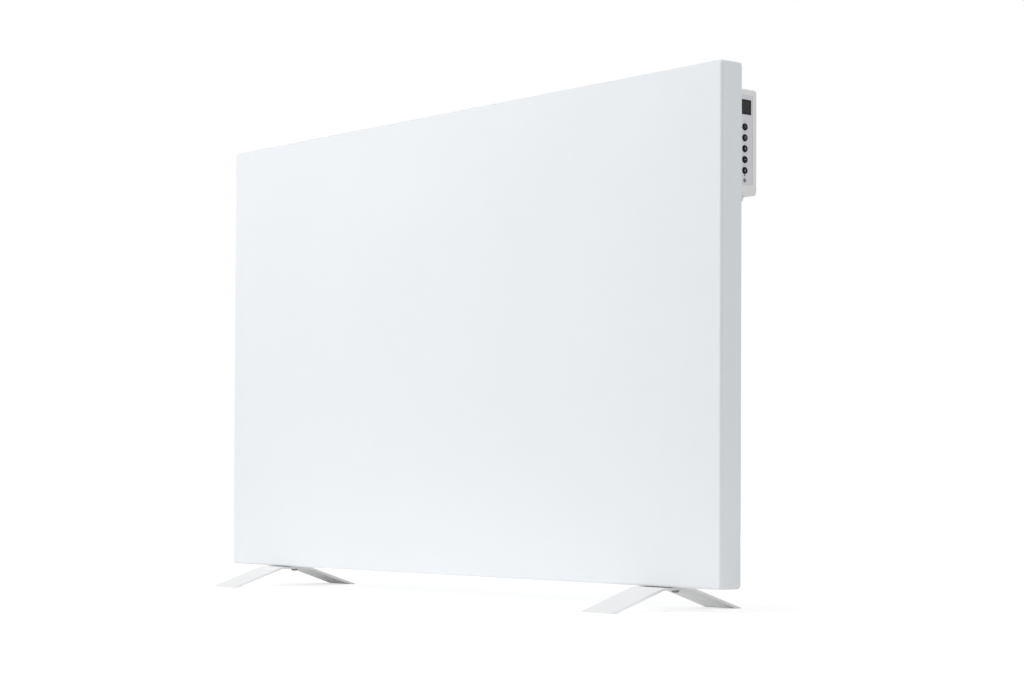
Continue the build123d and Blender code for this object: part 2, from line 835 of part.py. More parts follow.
def power_board():
    """Board with the mains parts, on two posts over the base plate."""
    width, height, mid_x = 42.0, 97.0, 444.0
    sheet = along_y(Rectangle(width, height), power_board_y, power_face_y, mid_x, box_mid_z)
    hole = small_hole(power_screw[2] + 0.25)
    return sheet - [
        along_y(hole, power_board_y - 1.0, power_face_y + 1.0, x, z) for x, z in power_post_places()
    ]


def power_board_screws():
    """Two screws through the power board into the base's posts."""
    return group(pan_screw(power_screw, (x, power_face_y, z), FRONT) for x, z in power_post_places())


def relay():
    """Sealed relay that switches the mat."""
    height = 15.0
    return along_y(Rectangle(19.0, 15.5), power_face_y, power_face_y + height, 436.0, 561.0)


def transformer():
    """Wound core between two flanges of its bobbin, feeding the low-voltage side."""
    x, z = 438.0, 533.0
    height, flange = 16.0, 2.0
    body = along_y(cornered(20.0, 14.0, 2.0), power_face_y, power_face_y + height, x, z)
    for y in (power_face_y, power_face_y + height - flange):
        body += along_y(Rectangle(27.0, 20.0), y, y + flange, x, z)
    return body


def capacitor():
    """Upright smoothing capacitor."""
    radius, height = 5.0, 16.0
    return along_y(Circle(radius), power_face_y, power_face_y + height, 456.0, 561.0)


def supply_terminal():
    """Three-way clamp that the supply cable's cores go into."""
    x, z = 446.0, 507.0
    width, depth, height = 16.0, 10.0, 11.0
    top_y = power_face_y + height
    block = along_y(Rectangle(width, depth), power_face_y, top_y, x, z)
    cuts = []
    for step in (-5.0, 0.0, 5.0):
        entry = along_z(Rectangle(3.4, 3.4), z - depth, z - 1.0, x + step, power_face_y + 3.5)
        screw_well = along_y(Circle(1.6), top_y - 3.0, top_y + 1.0, x + step, z)
        cuts += [entry, screw_well]
    return block - cuts


def tilt_switch():
    """Sealed can that opens the circuit if the heater falls over."""
    radius, height = 5.0, 12.8
    return along_y(Circle(radius), power_face_y, power_face_y + height, 431.5, 514.0)


def ribbon_cable():
    """Flat cable between the two boards, bent twice."""
    start_y, bend_x, drop_x, drop_y = 45.0, 463.0, 458.0, 38.0
    path = FilletPolyline(
        (control_board_x, start_y), (bend_x, start_y), (drop_x, drop_y), (drop_x, power_face_y), radius=2.5
    )
    thickness, low_z, high_z = 1.0, 521.0, 535.0
    return along_z(trace(path, thickness), low_z, high_z)


def room_sensor():
    """Sensor bead on its lead above the air slots in the floor of the box."""
    x, y, bead_z, bead_radius, bead_length, turn_z = 434.0, 41.0, 485.5, 1.6, 4.5, 501.0
    bead_body = along_z(Circle(bead_radius), bead_z, bead_z + bead_length, x, y)
    lead = wire([(x, y, bead_z + bead_length), (x, y, turn_z), (x, power_face_y, turn_z)], 0.7, 3.0)
    return bead_body + lead


# ---------------------------------------------------------------- all the pieces

pieces = {
    "front_tray": front_tray(),
    "rear_cover": rear_cover(),
    "rear_cover_screws": rear_cover_screws(),
    "rail_left": rail(-1),
    "rail_right": rail(1),
    "wall_rivet_nuts": wall_rivet_nuts(),
    "heating_mat": heating_mat(),
    "element_tabs": element_tabs(),
    "reflector_foil": backing(foil_y, wool_y),
    "insulation_board": backing(wool_y, wool_back_y),
    "thermal_cutout": thermal_cutout(),
    "terminal_block": terminal_block(),
    "element_leads": element_leads(),
    "supply_leads": supply_leads(),
    "earth_lead": earth_lead(),
    "earth_stud": earth_stud(),
    "lead_grommet": lead_grommet(),
    "foot_left": foot(-1),
    "foot_right": foot(1),
    "foot_screws": foot_screws(),
    "foot_rivet_nuts": foot_rivet_nuts(),
    "control_base": control_base(),
    "control_cover": control_cover(),
    "base_screws": base_screws(),
    "cover_screws": cover_screws(),
    "cable_gland": cable_gland(),
    "gland_nut": gland_nut(),
    "face_label": face_label(),
    "display_window": display_window(),
    "display_module": display_module(),
    "tact_switches": tact_switches(),
    "status_light": status_light(),
    "control_board": control_board(),
    "board_screws": board_screws(),
    "power_board": power_board(),
    "power_board_screws": power_board_screws(),
    "relay": relay(),
    "transformer": transformer(),
    "capacitor": capacitor(),
    "supply_terminal": supply_terminal(),
    "tilt_switch": tilt_switch(),
    "ribbon_cable": ribbon_cable(),
    "room_sensor": room_sensor(),
}
for number, height in enumerate(button_heights(), start=1):
    pieces[f"button_{number}"] = button(height)
    pieces[f"plunger_{number}"] = plunger(height)

for name, shape in pieces.items():
    export_step(shape, f"parts/{name}.step")
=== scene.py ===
from math import cos, pi, radians

import bpy
import numpy as np
from mathutils import Matrix, Vector


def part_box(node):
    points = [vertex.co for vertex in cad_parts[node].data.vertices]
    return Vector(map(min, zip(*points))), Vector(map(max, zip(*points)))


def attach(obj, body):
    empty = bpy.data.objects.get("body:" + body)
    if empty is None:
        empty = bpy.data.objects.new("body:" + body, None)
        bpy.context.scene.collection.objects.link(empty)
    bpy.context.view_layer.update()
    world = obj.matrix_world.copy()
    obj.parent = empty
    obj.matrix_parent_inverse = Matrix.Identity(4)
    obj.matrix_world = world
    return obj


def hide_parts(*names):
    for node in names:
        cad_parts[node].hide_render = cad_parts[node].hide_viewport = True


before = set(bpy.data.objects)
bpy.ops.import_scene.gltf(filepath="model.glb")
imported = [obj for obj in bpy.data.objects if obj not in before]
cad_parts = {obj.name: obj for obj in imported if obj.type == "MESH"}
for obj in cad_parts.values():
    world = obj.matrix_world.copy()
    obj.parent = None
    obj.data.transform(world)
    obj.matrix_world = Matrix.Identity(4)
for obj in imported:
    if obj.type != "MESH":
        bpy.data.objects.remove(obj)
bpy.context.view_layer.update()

# ---------------------------------------------------------------- camera
# A long lens held low, off the right-hand end of the heater and in front of it, so that neither the
# top nor the underside of the panel shows. Its place, turn and lens were fitted to the corners of the
# panel and the feet, and the frame is moved up a little on the sensor.

photo_width, photo_height = 1024, 683
focal_pixels = 2271.8
optical_centre_row = 430.0
camera_place = (2.3067, -1.8390, 0.1472)
camera_turn, camera_tilt, camera_roll = radians(50.013), radians(1.339), radians(0.285)

camera_data = bpy.data.cameras.new("photo_camera")
camera_data.sensor_width = 36.0
camera_data.lens = focal_pixels * camera_data.sensor_width / photo_width
camera_data.shift_y = (optical_centre_row - photo_height / 2) / photo_width
camera_data.clip_end = 60.0
camera = bpy.data.objects.new("photo_camera", camera_data)
camera.matrix_world = (
    Matrix.Translation(camera_place)
    @ Matrix.Rotation(camera_turn, 4, "Z")
    @ Matrix.Rotation(pi / 2 + camera_tilt, 4, "X")
    @ Matrix.Rotation(camera_roll, 4, "Z")
)
bpy.context.scene.collection.objects.link(camera)
bpy.context.scene.camera = camera
bpy.context.scene.view_settings.view_transform = "Standard"

# ---------------------------------------------------------------- studio
# White paper floor in an even white room, with four soft lamps and three faint ones on the paper for
# its bounce: in front, under the front fold and under the right foot. Floor and room show white to the
# camera and to gloss; near the object the floor glows less, so that it keeps a faint shadow.


def add_mesh(name, points, faces):
    """Mesh object from an array of points and a list of faces, linked to the scene."""
    mesh = bpy.data.meshes.new(name)
    mesh.from_pydata(points.tolist(), [], faces)
    mesh.update()
    piece = bpy.data.objects.new(name, mesh)
    bpy.context.scene.collection.objects.link(piece)
    return piece


def new_material(name):
    """Node material: itself, its node tree and its Principled shader."""
    material = bpy.data.materials.new(name)
    material.use_nodes = True
    return material, material.node_tree, material.node_tree.nodes["Principled BSDF"]


def on_object(tree):
    """Object coordinates, which are metres in the frame that all pieces share."""
    return tree.nodes.new("ShaderNodeTexCoord").outputs["Object"]


def calc(tree, operation, *values):
    """Math node; each value is a socket or a number."""
    node = tree.nodes.new("ShaderNodeMath")
    node.operation = operation
    for socket, value in zip(node.inputs, values):
        if isinstance(value, bpy.types.NodeSocket):
            tree.links.new(value, socket)
        else:
            socket.default_value = value
    return node.outputs[0]


def vector_calc(tree, operation, *sockets):
    """Vector math node fed by one or two sockets: its outputs."""
    node = tree.nodes.new("ShaderNodeVectorMath")
    node.operation = operation
    for source, socket in zip(sockets, node.inputs):
        tree.links.new(source, socket)
    return node.outputs


def spread(tree, value, low, high, start=0.3, stop=0.7):
    """The value, which runs from start to stop, spread between low and high."""
    node = tree.nodes.new("ShaderNodeMapRange")
    node.inputs["From Min"].default_value = start
    node.inputs["From Max"].default_value = stop
    node.inputs["To Min"].default_value = low
    node.inputs["To Max"].default_value = high
    tree.links.new(value, node.inputs["Value"])
    return node.outputs["Result"]


def area_lamp(name, place, target, width, depth, power):
    """Soft rectangular lamp that looks at a target; its sizes are in metres and its power in watts."""
    data = bpy.data.lights.new(name, "AREA")
    data.shape = "RECTANGLE"
    data.size = width
    data.size_y = depth
    data.energy = power
    lamp = bpy.data.objects.new(name, data)
    lamp.location = place
    lamp.rotation_euler = (Vector(target) - Vector(place)).to_track_quat("-Z", "Y").to_euler()
    lamp.visible_camera = False
    bpy.context.scene.collection.objects.link(lamp)


floor_reach = 9.0
floor_points = np.array([(-1, -1, 0), (1, -1, 0), (1, 1, 0), (-1, 1, 0)]) * floor_reach
floor = add_mesh("studio_floor", floor_points, [(0, 1, 2, 3)])

lit_grey, seen_grey = 0.86, 0.77
floor_material, tree, paper = new_material("studio_paper")
paper.inputs["Base Color"].default_value = (lit_grey, lit_grey, lit_grey, 1.0)
paper.inputs["Roughness"].default_value = 0.9
paper.inputs["Specular IOR Level"].default_value = 0.0
near_reach, far_reach, near_glow, far_glow = 0.6, 3.0, 0.54, 0.69
from_middle = vector_calc(tree, "LENGTH", on_object(tree))["Value"]
glow_strength = spread(tree, from_middle, near_glow, far_glow, start=near_reach, stop=far_reach)
glow = tree.nodes.new("ShaderNodeEmission")
tree.links.new(glow_strength, glow.inputs["Strength"])
dull = tree.nodes.new("ShaderNodeBsdfDiffuse")
dull.inputs["Color"].default_value = (seen_grey, seen_grey, seen_grey, 1.0)
shown = tree.nodes.new("ShaderNodeAddShader")
tree.links.new(glow.outputs[0], shown.inputs[0])
tree.links.new(dull.outputs[0], shown.inputs[1])
path = tree.nodes.new("ShaderNodeLightPath").outputs
choice = tree.nodes.new("ShaderNodeMixShader")
tree.links.new(calc(tree, "MAXIMUM", path["Is Camera Ray"], path["Is Glossy Ray"]), choice.inputs["Fac"])
tree.links.new(paper.outputs[0], choice.inputs[1])
tree.links.new(shown.outputs[0], choice.inputs[2])
tree.links.new(choice.outputs[0], tree.nodes["Material Output"].inputs["Surface"])
floor.data.materials.append(floor_material)

room_level = 0.42
world = bpy.data.worlds.new("white_room")
bpy.context.scene.world = world
world.use_nodes = True
tree = world.node_tree
path = tree.nodes.new("ShaderNodeLightPath").outputs
seen = calc(tree, "MAXIMUM", path["Is Camera Ray"], path["Is Glossy Ray"])
seen = calc(tree, "MAXIMUM", seen, path["Is Transmission Ray"])
strength = calc(tree, "MULTIPLY_ADD", seen, 1.0 - room_level, room_level)
tree.nodes["Background"].inputs["Color"].default_value = (1.0, 1.0, 1.0, 1.0)
tree.links.new(strength, tree.nodes["Background"].inputs["Strength"])

area_lamp("front_lamp", (-3.2, -3.2, 1.5), (-0.3, 0.0, 0.3), 2.6, 2.4, 60.0)
area_lamp("overhead_lamp", (-0.05, -1.1, 2.3), (0.05, -0.15, 0.2), 1.8, 1.8, 19.8)
area_lamp("side_lamp", (3.2, 1.2, 1.4), (0.5, 0.0, 0.3), 2.0, 2.0, 17.5)
area_lamp("back_lamp", (-2.0, 3.0, 1.6), (0.0, 0.0, 0.3), 1.8, 1.8, 20.0)
off_paper = 0.0006
area_lamp("paper_bounce", (0.1, -0.165, off_paper), (0.1, -0.165, 1.0), 1.3, 0.27, 0.32)
area_lamp("fold_bounce", (0.0, -0.045, off_paper), (0.0, -0.045, 1.0), 0.66, 0.05, 0.045)
area_lamp("foot_bounce", (0.355, 0.065, off_paper), (0.355, 0.065, 1.0), 0.10, 0.07, 0.0029)

# ---------------------------------------------------------------- tray and back cover
# Folded steel sheet, sprayed with white polyester powder and baked. The coat flows into a faint
# orange peel, drifts a little in tone, and pulls thin and slightly greyer along the folds.

mm = 0.001


def blended(tree, share, first, second):
    """Colour that goes from the first to the second with the share; each is a colour or a socket."""
    node = tree.nodes.new("ShaderNodeMix")
    node.data_type = "RGBA"
    for socket, colour in ((node.inputs["A"], first), (node.inputs["B"], second)):
        if isinstance(colour, bpy.types.NodeSocket):
            tree.links.new(colour, socket)
        else:
            socket.default_value = (*colour, 1.0)
    tree.links.new(share, node.inputs["Factor"])
    return node.outputs["Result"]


def bumped(tree, height, depth, shader):
    """Feeds a height, from 0 to 1 over a depth in metres, to the shader's normal."""
    node = tree.nodes.new("ShaderNodeBump")
    node.inputs["Strength"].default_value = 1.0
    node.inputs["Distance"].default_value = depth
    tree.links.new(height, node.inputs["Height"])
    tree.links.new(node.outputs["Normal"], shader.inputs["Normal"])


def new_group(name, inputs, outputs):
    """Empty shader group with float inputs and outputs; an input whose name starts with At is a vector."""
    group = bpy.data.node_groups.new(name, "ShaderNodeTree")
    for socket in inputs:
        kind = "NodeSocketVector" if socket.startswith("At") else "NodeSocketFloat"
        group.interface.new_socket(socket, in_out="INPUT", socket_type=kind)
    for socket in outputs:
        group.interface.new_socket(socket, in_out="OUTPUT", socket_type="NodeSocketFloat")
    return group, group.nodes.new("NodeGroupInput").outputs, group.nodes.new("NodeGroupOutput").inputs


def fine_skin_group():
    """Sprayed or moulded skin: fine grain for height, a slow drift of tone, and a broken gloss."""
    group, given, put_out = new_group("fine_skin", ("Grain", "Drift"), ("Height", "Tone", "Gloss"))
    place = on_object(group)
    fields = []
    for name, detail in (("Grain", 4.0), ("Drift", 2.0)):
        field = group.nodes.new("ShaderNodeTexNoise")
        field.inputs["Detail"].default_value = detail
        group.links.new(place, field.inputs["Vector"])
        group.links.new(given[name], field.inputs["Scale"])
        fields.append(field.outputs["Fac"])
    group.links.new(fields[0], put_out["Height"])
    group.links.new(fields[1], put_out["Tone"])
    group.links.new(calc(group, "MULTIPLY", *fields), put_out["Gloss"])
    return group


def axes(tree, vector):
    """The X, Y and Z of a vector socket."""
    node = tree.nodes.new("ShaderNodeSeparateXYZ")
    tree.links.new(vector, node.inputs[0])
    return node.outputs


def near_edge_group():
    """1 along the edges of a box, falling to 0 at Width from them. Of a point's distances to the box's
    three pairs of faces, the middle one is its distance to an edge."""
    group, given, put_out = new_group("near_edge", ("At Centre", "At Corner", "Width"), ("Mask",))
    off_centre = vector_calc(group, "SUBTRACT", on_object(group), given["At Centre"])["Vector"]
    reached = vector_calc(group, "ABSOLUTE", off_centre)["Vector"]
    to_faces = vector_calc(group, "SUBTRACT", given["At Corner"], reached)["Vector"]
    x, y, z = axes(group, to_faces)
    smaller = calc(group, "MINIMUM", x, y)
    larger = calc(group, "MAXIMUM", x, y)
    middle = calc(group, "MAXIMUM", smaller, calc(group, "MINIMUM", larger, z))
    share = calc(group, "DIVIDE", middle, given["Width"])
    fade = calc(group, "SUBTRACT", 1.0, share)
    group.links.new(calc(group, "MAXIMUM", fade, 0.0), put_out["Mask"])
    return group


fine_skin = fine_skin_group()
near_edge = near_edge_group()


def skin(tree, grain, drift):
    """One use of the skin group: its height, tone and gloss."""
    node = tree.nodes.new("ShaderNodeGroup")
    node.node_tree = fine_skin
    node.inputs["Grain"].default_value = grain
    node.inputs["Drift"].default_value = drift
    return node.outputs["Height"], node.outputs["Tone"], node.outputs["Gloss"]


def edge_mask(tree, node_name, width):
    """One use of the edge group, for the box round a CAD node."""
    low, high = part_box(node_name)
    node = tree.nodes.new("ShaderNodeGroup")
    node.node_tree = near_edge
    node.inputs["At Centre"].default_value = (low + high) / 2
    node.inputs["At Corner"].default_value = (high - low) / 2
    node.inputs["Width"].default_value = width
    return node.outputs["Mask"]


def skinned(name, colours, grain, drift, depth, roughness, edge=None):
    """Material and shader of a finish with the fine skin: the two colours that its tone drifts between,
    grain and drift per metre, the grain's depth in metres, and the range of its roughness. An edge is a
    CAD node, a width, a colour and a share: the finish takes on that colour along the node's edges."""
    material, tree, shader = new_material(name)
    height, tone, broken = skin(tree, grain, drift)
    colour = blended(tree, spread(tree, tone, 0.0, 1.0), *colours)
    if edge:
        node_name, width, edge_colour, share = edge
        # along the edges: a greyer thin coat on powder coat folds, a painted highlight on the moulded
        # cover
        thinning_and_highlight = calc(tree, "MULTIPLY", edge_mask(tree, node_name, width), share)
        colour = blended(tree, thinning_and_highlight, colour, edge_colour)
    tree.links.new(colour, shader.inputs["Base Color"])
    tree.links.new(spread(tree, broken, *roughness, start=0.12, stop=0.4), shader.inputs["Roughness"])
    bumped(tree, height, depth, shader)
    return material, shader


def powder_coat(name, thin, thick, peel, roughness, folded=None):
    """White powder coat: colour between thin and thick, depth of the orange peel, range of roughness. On
    a folded node it is thin and a little greyer along the folds."""
    grain, drift, fold_width, fold_share = 420.0, 5.0, 3.0 * mm, 0.6
    bare = tuple(0.95 * channel for channel in thin)
    edge = (folded, fold_width, bare, fold_share) if folded else None
    material, shader = skinned(name, (thin, thick), grain, drift, peel, roughness, edge)
    shader.inputs["Specular IOR Level"].default_value = 0.42
    return material


def dress(material, *nodes):
    """Puts one material on CAD nodes, in place of all that they carry."""
    for node in nodes:
        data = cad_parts[node].data
        data.materials.clear()
        data.materials.append(material)


thin_coat, thick_coat = (0.830, 0.859, 0.885), (0.845, 0.872, 0.897)
orange_peel = 0.12 * mm
coat_roughness = (0.38, 0.50)
for name, sheet in (("tray_coat", "front_tray"), ("cover_coat", "rear_cover")):
    dress(powder_coat(name, thin_coat, thick_coat, orange_peel, coat_roughness, sheet), sheet)

# ---------------------------------------------------------------- back cover screws
# Ten zinc plated sheet screws, cold headed with a cross recess and rolled with a coarse thread, hold
# the back cover to the lip of the tray.

panel_low, panel_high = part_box("front_tray")
panel_middle = (panel_low + panel_high) / 2
round_columns = 48


def angles(columns):
    """Angles of the columns of a turned form, once round."""
    return np.linspace(0.0, 2.0 * pi, columns, endpoint=False)


def spun(radius, height):
    """Turned form: every row and angle has a radius and a height, and its point is
    (radius cos angle, radius sin angle, height)."""
    radius, height = np.broadcast_arrays(radius, height)
    angle = angles(radius.shape[1])
    return np.stack([radius * np.cos(angle), radius * np.sin(angle), height], axis=-1)


def grid_faces(rows, columns, closed):
    """Faces between neighbouring rows and columns of a form that closes round its columns. A closed
    form also joins its last row to its first, and any other gets a cap at each end."""
    index = np.arange(rows * columns).reshape(rows, columns)
    across = np.roll(index, -1, axis=1)
    quads = np.stack([index, across, np.roll(across, -1, axis=0), np.roll(index, -1, axis=0)], axis=-1)
    if closed:
        return quads.reshape(-1, 4).tolist()
    return quads[:-1].reshape(-1, 4).tolist() + [index[0, ::-1].tolist(), index[-1].tolist()]


def set_in(points, place, along, spin=0.0):
    """Local points set at a place: their Z runs along the given axis, and they are spun about it."""
    along = np.array(along, float)
    side = np.array((0.0, 1.0, 0.0)) if along[0] else np.array((1.0, 0.0, 0.0))
    up = np.cross(along, side)
    first = np.cos(spin) * side + np.sin(spin) * up
    second = np.cos(spin) * up - np.sin(spin) * side
    return points.reshape(-1, 3) @ np.array([first, second, along]) + np.array(place)


def copies(points, faces, places, along, spin_step=0.0):
    """The same form at several places, each spun on by one step: all the points and all the faces."""
    sets = [set_in(points, place, along, spin_step * n) for n, place in enumerate(places)]
    count = len(sets[0])
    numbered = [[n * count + corner for corner in face] for n in range(len(sets)) for face in faces]
    return np.concatenate(sets), numbered


def finish_mesh(piece, material):
    """Material, and smooth shading that breaks where faces meet at more than the sharp angle."""
    sharp = radians(35.0)
    piece.data.materials.append(material)
    piece.data.shade_smooth()
    piece.data.set_sharp_from_angle(angle=sharp)


def triangle_wave(phase):
    """Goes 0, 1, 0 over each whole step of the phase."""
    return 1.0 - np.abs(2.0 * (phase % 1.0) - 1.0)


def screw_form(head_radius, head_height, shank_radius, length, thread_length, pitch):
    """Pan head screw, head to -Z and shank to +Z. The head's height is -H sqrt(1 - (r / R)^4), less a
    cross recess whose arms slope up to their sides and ends. The threaded part's radius swings between
    core and crest with height / pitch + angle / 2 pi, and tapers over the last two turns."""
    angle, around = angles(round_columns), np.zeros(round_columns)
    even_rows, rim_rows = np.linspace(0.04, 0.9, 15), [0.94, 0.97, 0.99, 1.0]
    share = np.concatenate([even_rows, rim_rows])[:, None]
    head = head_radius * share + around
    dome = -head_height * np.sqrt(1.0 - share**4)
    x, y = np.abs(head * np.cos(angle)), np.abs(head * np.sin(angle))
    arm_half, arm_slope, arm_length = 0.09 * head_radius, 0.06 * head_radius, 0.58 * head_radius
    end_slope, recess_depth = 1.5, 0.7 * head_height
    arms = [
        np.clip((arm_half + arm_slope - v) / arm_slope, 0, 1)
        * np.clip(end_slope * (1 - u / arm_length), 0, 1)
        for u, v in ((x, y), (y, x))
    ]
    recess = recess_depth * np.maximum(*arms)
    rows_per_turn, thread_depth = 5, 0.2 * shank_radius
    rows = int(rows_per_turn * thread_length / pitch)
    along = np.linspace(length - thread_length, length, rows)[:, None]
    thread = shank_radius - thread_depth * triangle_wave(along / pitch + angle / (2 * pi))
    tip_taper, tip_length = 0.45, 2 * pitch
    taper = 1.0 - tip_taper * np.clip((along - length + tip_length) / tip_length, 0, 1)
    seat = np.array([shank_radius, shank_radius])[:, None] + around
    seat_height = np.array([0.0, 0.5 * (length - thread_length)])[:, None]
    radius = np.concatenate([head, seat, thread * taper])
    height = np.concatenate([dome + recess, seat_height + around, along + around])
    return spun(radius, height), grid_faces(len(radius), len(angle), closed=False)


def plated(name, dull, bright, roughness, metallic=1.0):
    """Plated small metal: fine marks in the height, a drifting tint and a broken polish, whose roughness
    runs up from the given one."""
    grain, drift, marks = 3200.0, 260.0, 0.02 * mm
    material, shader = skinned(name, (dull, bright), grain, drift, marks, (roughness, roughness + 0.2))
    shader.inputs["Metallic"].default_value = metallic
    return material


zinc = plated("zinc_plate", (0.52, 0.53, 0.55), (0.70, 0.70, 0.68), 0.26)
screw_edge, screw_step = 9.5 * mm, 290.0 * mm
cover_sheet = 1.0 * mm
cover_face_y = panel_high.y + cover_sheet
screw_half_x = panel_high.x - screw_edge
screw_half_z = panel_high.z - panel_middle.z - screw_edge
screw_places = [
    (steps * screw_step, cover_face_y, panel_middle.z + side * screw_half_z)
    for side in (-1, 1)
    for steps in (-1.5, -0.5, 0.5, 1.5)
]
screw_places += [(side * screw_half_x, cover_face_y, panel_middle.z) for side in (-1, 1)]
sheet_screw = screw_form(
    head_radius=3.7 * mm, head_height=2.1 * mm, shank_radius=1.9 * mm,
    length=7.5 * mm, thread_length=7.0 * mm, pitch=1.4 * mm,
)
sheet_screws = copies(*sheet_screw, screw_places, (0, -1, 0), spin_step=0.83)
back_screws = add_mesh("back_cover_screws", *sheet_screws)
finish_mesh(back_screws, zinc)
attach(back_screws, "heater")
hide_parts("rear_cover_screws")

# ---------------------------------------------------------------- rails and wall fixings
# Two hat rails rolled from galvanised strip, which shows its zinc spangle, and four M6 rivet nuts
# pulled up through the cover and the rails: hexagonal sleeve, flat flange, threaded bore.

galvanised, tree, shader = new_material("galvanised_strip")
spangle = tree.nodes.new("ShaderNodeTexVoronoi")
spangle.inputs["Scale"].default_value = 160.0
tree.links.new(on_object(tree), spangle.inputs["Vector"])
grey = tree.nodes.new("ShaderNodeRGBToBW")
tree.links.new(spangle.outputs["Color"], grey.inputs[0])
spangle_colour = blended(tree, grey.outputs[0], (0.46, 0.48, 0.50), (0.62, 0.64, 0.66))
tree.links.new(spangle_colour, shader.inputs["Base Color"])
spangle_gloss = spread(tree, grey.outputs[0], 0.32, 0.55, start=0.2, stop=0.8)
tree.links.new(spangle_gloss, shader.inputs["Roughness"])
shader.inputs["Metallic"].default_value = 1.0
bumped(tree, spangle.outputs["Distance"], 0.02 * mm, shader)
dress(galvanised, "rail_left", "rail_right")


def rivet_nut_form(bore_radius, flange_radius, flange_height, sleeve_radius, length, pitch):
    """Rivet nut, flange to -Z and sleeve to +Z. The bore's radius swings out from the core with
    height / pitch + angle / 2 pi; the sleeve is a hexagon, radius R cos 30 / cos(angle - 30) a side."""
    angle, around = angles(round_columns), np.zeros(round_columns)
    rows_per_turn, thread_depth, rim = 4, 0.09 * bore_radius, 0.3 * mm
    rows = int(rows_per_turn * (length + flange_height) / pitch)
    down = np.linspace(length, -flange_height + rim, rows)[:, None]
    thread = bore_radius + thread_depth * triangle_wave(down / pitch + angle / (2 * pi))
    hexagon = sleeve_radius * cos(pi / 6) / np.cos(angle % (pi / 3) - pi / 6)
    flange = [
        (bore_radius + 2 * rim, -flange_height), (flange_radius - rim, -flange_height),
        (flange_radius, -flange_height + rim), (flange_radius, 0.0),
    ]
    radius = np.concatenate([thread, [r + around for r, _ in flange], [hexagon, hexagon]])
    height = np.concatenate([down + around, [h + around for _, h in flange], [around, length + around]])
    return spun(radius, height), grid_faces(len(radius), len(angle), closed=True)


wall_pitch_x, wall_pitch_z = 700.0 * mm, 350.0 * mm
wall_places = [
    (side_x * wall_pitch_x / 2, cover_face_y, panel_middle.z + side_z * wall_pitch_z / 2)
    for side_x in (-1, 1)
    for side_z in (-1, 1)
]
wall_nut = rivet_nut_form(
    bore_radius=2.5 * mm, flange_radius=7.0 * mm, flange_height=1.2 * mm,
    sleeve_radius=4.9 * mm, length=12.0 * mm, pitch=1.0 * mm,
)
wall_nuts = add_mesh("wall_rivet_nut_set", *copies(*wall_nut, wall_places, (0, -1, 0)))
finish_mesh(wall_nuts, zinc)
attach(wall_nuts, "heater")
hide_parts("wall_rivet_nuts")

# ---------------------------------------------------------------- heating stack
# An amber polyimide film with an etched track, glued to the back of the front face; bright foil over
# it; and a pressed mineral wool board, which shows through the vents. Brass tabs end the track.

track_pitch, gap_share = 9.0 * mm, 0.4


def noise(tree, place, scale, detail=3.0):
    """Noise over the given coordinates; scale counts its features per metre."""
    node = tree.nodes.new("ShaderNodeTexNoise")
    node.inputs["Scale"].default_value = scale
    node.inputs["Detail"].default_value = detail
    tree.links.new(place, node.inputs["Vector"])
    return node.outputs["Fac"]


mat_film, tree, shader = new_material("heating_film")
place = on_object(tree)
phase = calc(tree, "FRACT", calc(tree, "DIVIDE", axes(tree, place)["Z"], track_pitch))
track = calc(tree, "GREATER_THAN", phase, gap_share)
amber = blended(tree, noise(tree, place, 30.0), (0.42, 0.20, 0.03), (0.56, 0.30, 0.06))
tree.links.new(blended(tree, track, amber, (0.16, 0.12, 0.09)), shader.inputs["Base Color"])
tree.links.new(spread(tree, track, 0.25, 0.4, start=0.0, stop=1.0), shader.inputs["Roughness"])
bumped(tree, track, 0.05 * mm, shader)
dress(mat_film, "heating_mat")

foil, tree, shader = new_material("bright_foil")
place = on_object(tree)
crease = tree.nodes.new("ShaderNodeTexVoronoi")
crease.feature = "SMOOTH_F1"
crease.inputs["Scale"].default_value = 55.0
tree.links.new(place, crease.inputs["Vector"])
foil_colour = blended(tree, noise(tree, place, 90.0), (0.70, 0.70, 0.71), (0.84, 0.84, 0.85))
tree.links.new(foil_colour, shader.inputs["Base Color"])
foil_gloss = spread(tree, crease.outputs["Distance"], 0.15, 0.35, start=0.0, stop=0.8)
tree.links.new(foil_gloss, shader.inputs["Roughness"])
shader.inputs["Metallic"].default_value = 1.0
bumped(tree, crease.outputs["Distance"], 0.8 * mm, shader)
dress(foil, "reflector_foil")

wool, tree, shader = new_material("mineral_wool")
stretch = tree.nodes.new("ShaderNodeMapping")
stretch.inputs["Scale"].default_value = (1.0, 4.0, 6.0)
tree.links.new(on_object(tree), stretch.inputs["Vector"])
fibres = noise(tree, stretch.outputs[0], 380.0, 6.0)
wool_colour = blended(tree, spread(tree, fibres, 0.0, 1.0), (0.33, 0.29, 0.17), (0.66, 0.61, 0.44))
tree.links.new(wool_colour, shader.inputs["Base Color"])
tree.links.new(spread(tree, fibres, 0.85, 1.0), shader.inputs["Roughness"])
bumped(tree, fibres, 0.7 * mm, shader)
dress(wool, "insulation_board")

brass = plated("brass_strip", (0.60, 0.43, 0.18), (0.80, 0.62, 0.30), 0.24)
dress(brass, "element_tabs")

# ---------------------------------------------------------------- wiring behind the cover
# A phenolic cutout, a glazed steatite block, silicone leads, a rubber ring in the cover's hole, and a
# weld stud with its nut for the earth lead.


def moulded(name, colour, grain, depth, roughness, gloss_level=0.5, drift=12.0, edged=None):
    """Moulded plastic, rubber, glaze or ink of one colour: its grain per metre and the grain's depth, its
    lowest roughness and the strength of its gloss. An edged node's edges carry a painted highlight."""
    highlight_width, highlight_share = 1.2 * mm, 0.7
    darker = tuple(0.95 * channel for channel in colour)
    # painted highlight: along the edged node's edges the colour is a little brighter
    highlight_colour = tuple(min(1.04 * channel, 0.9) for channel in colour)
    edge = (edged, highlight_width, highlight_colour, highlight_share) if edged else None
    gloss = (roughness, roughness + 0.12)
    material, shader = skinned(name, (darker, colour), grain, drift, depth, gloss, edge)
    shader.inputs["Specular IOR Level"].default_value = gloss_level
    return material


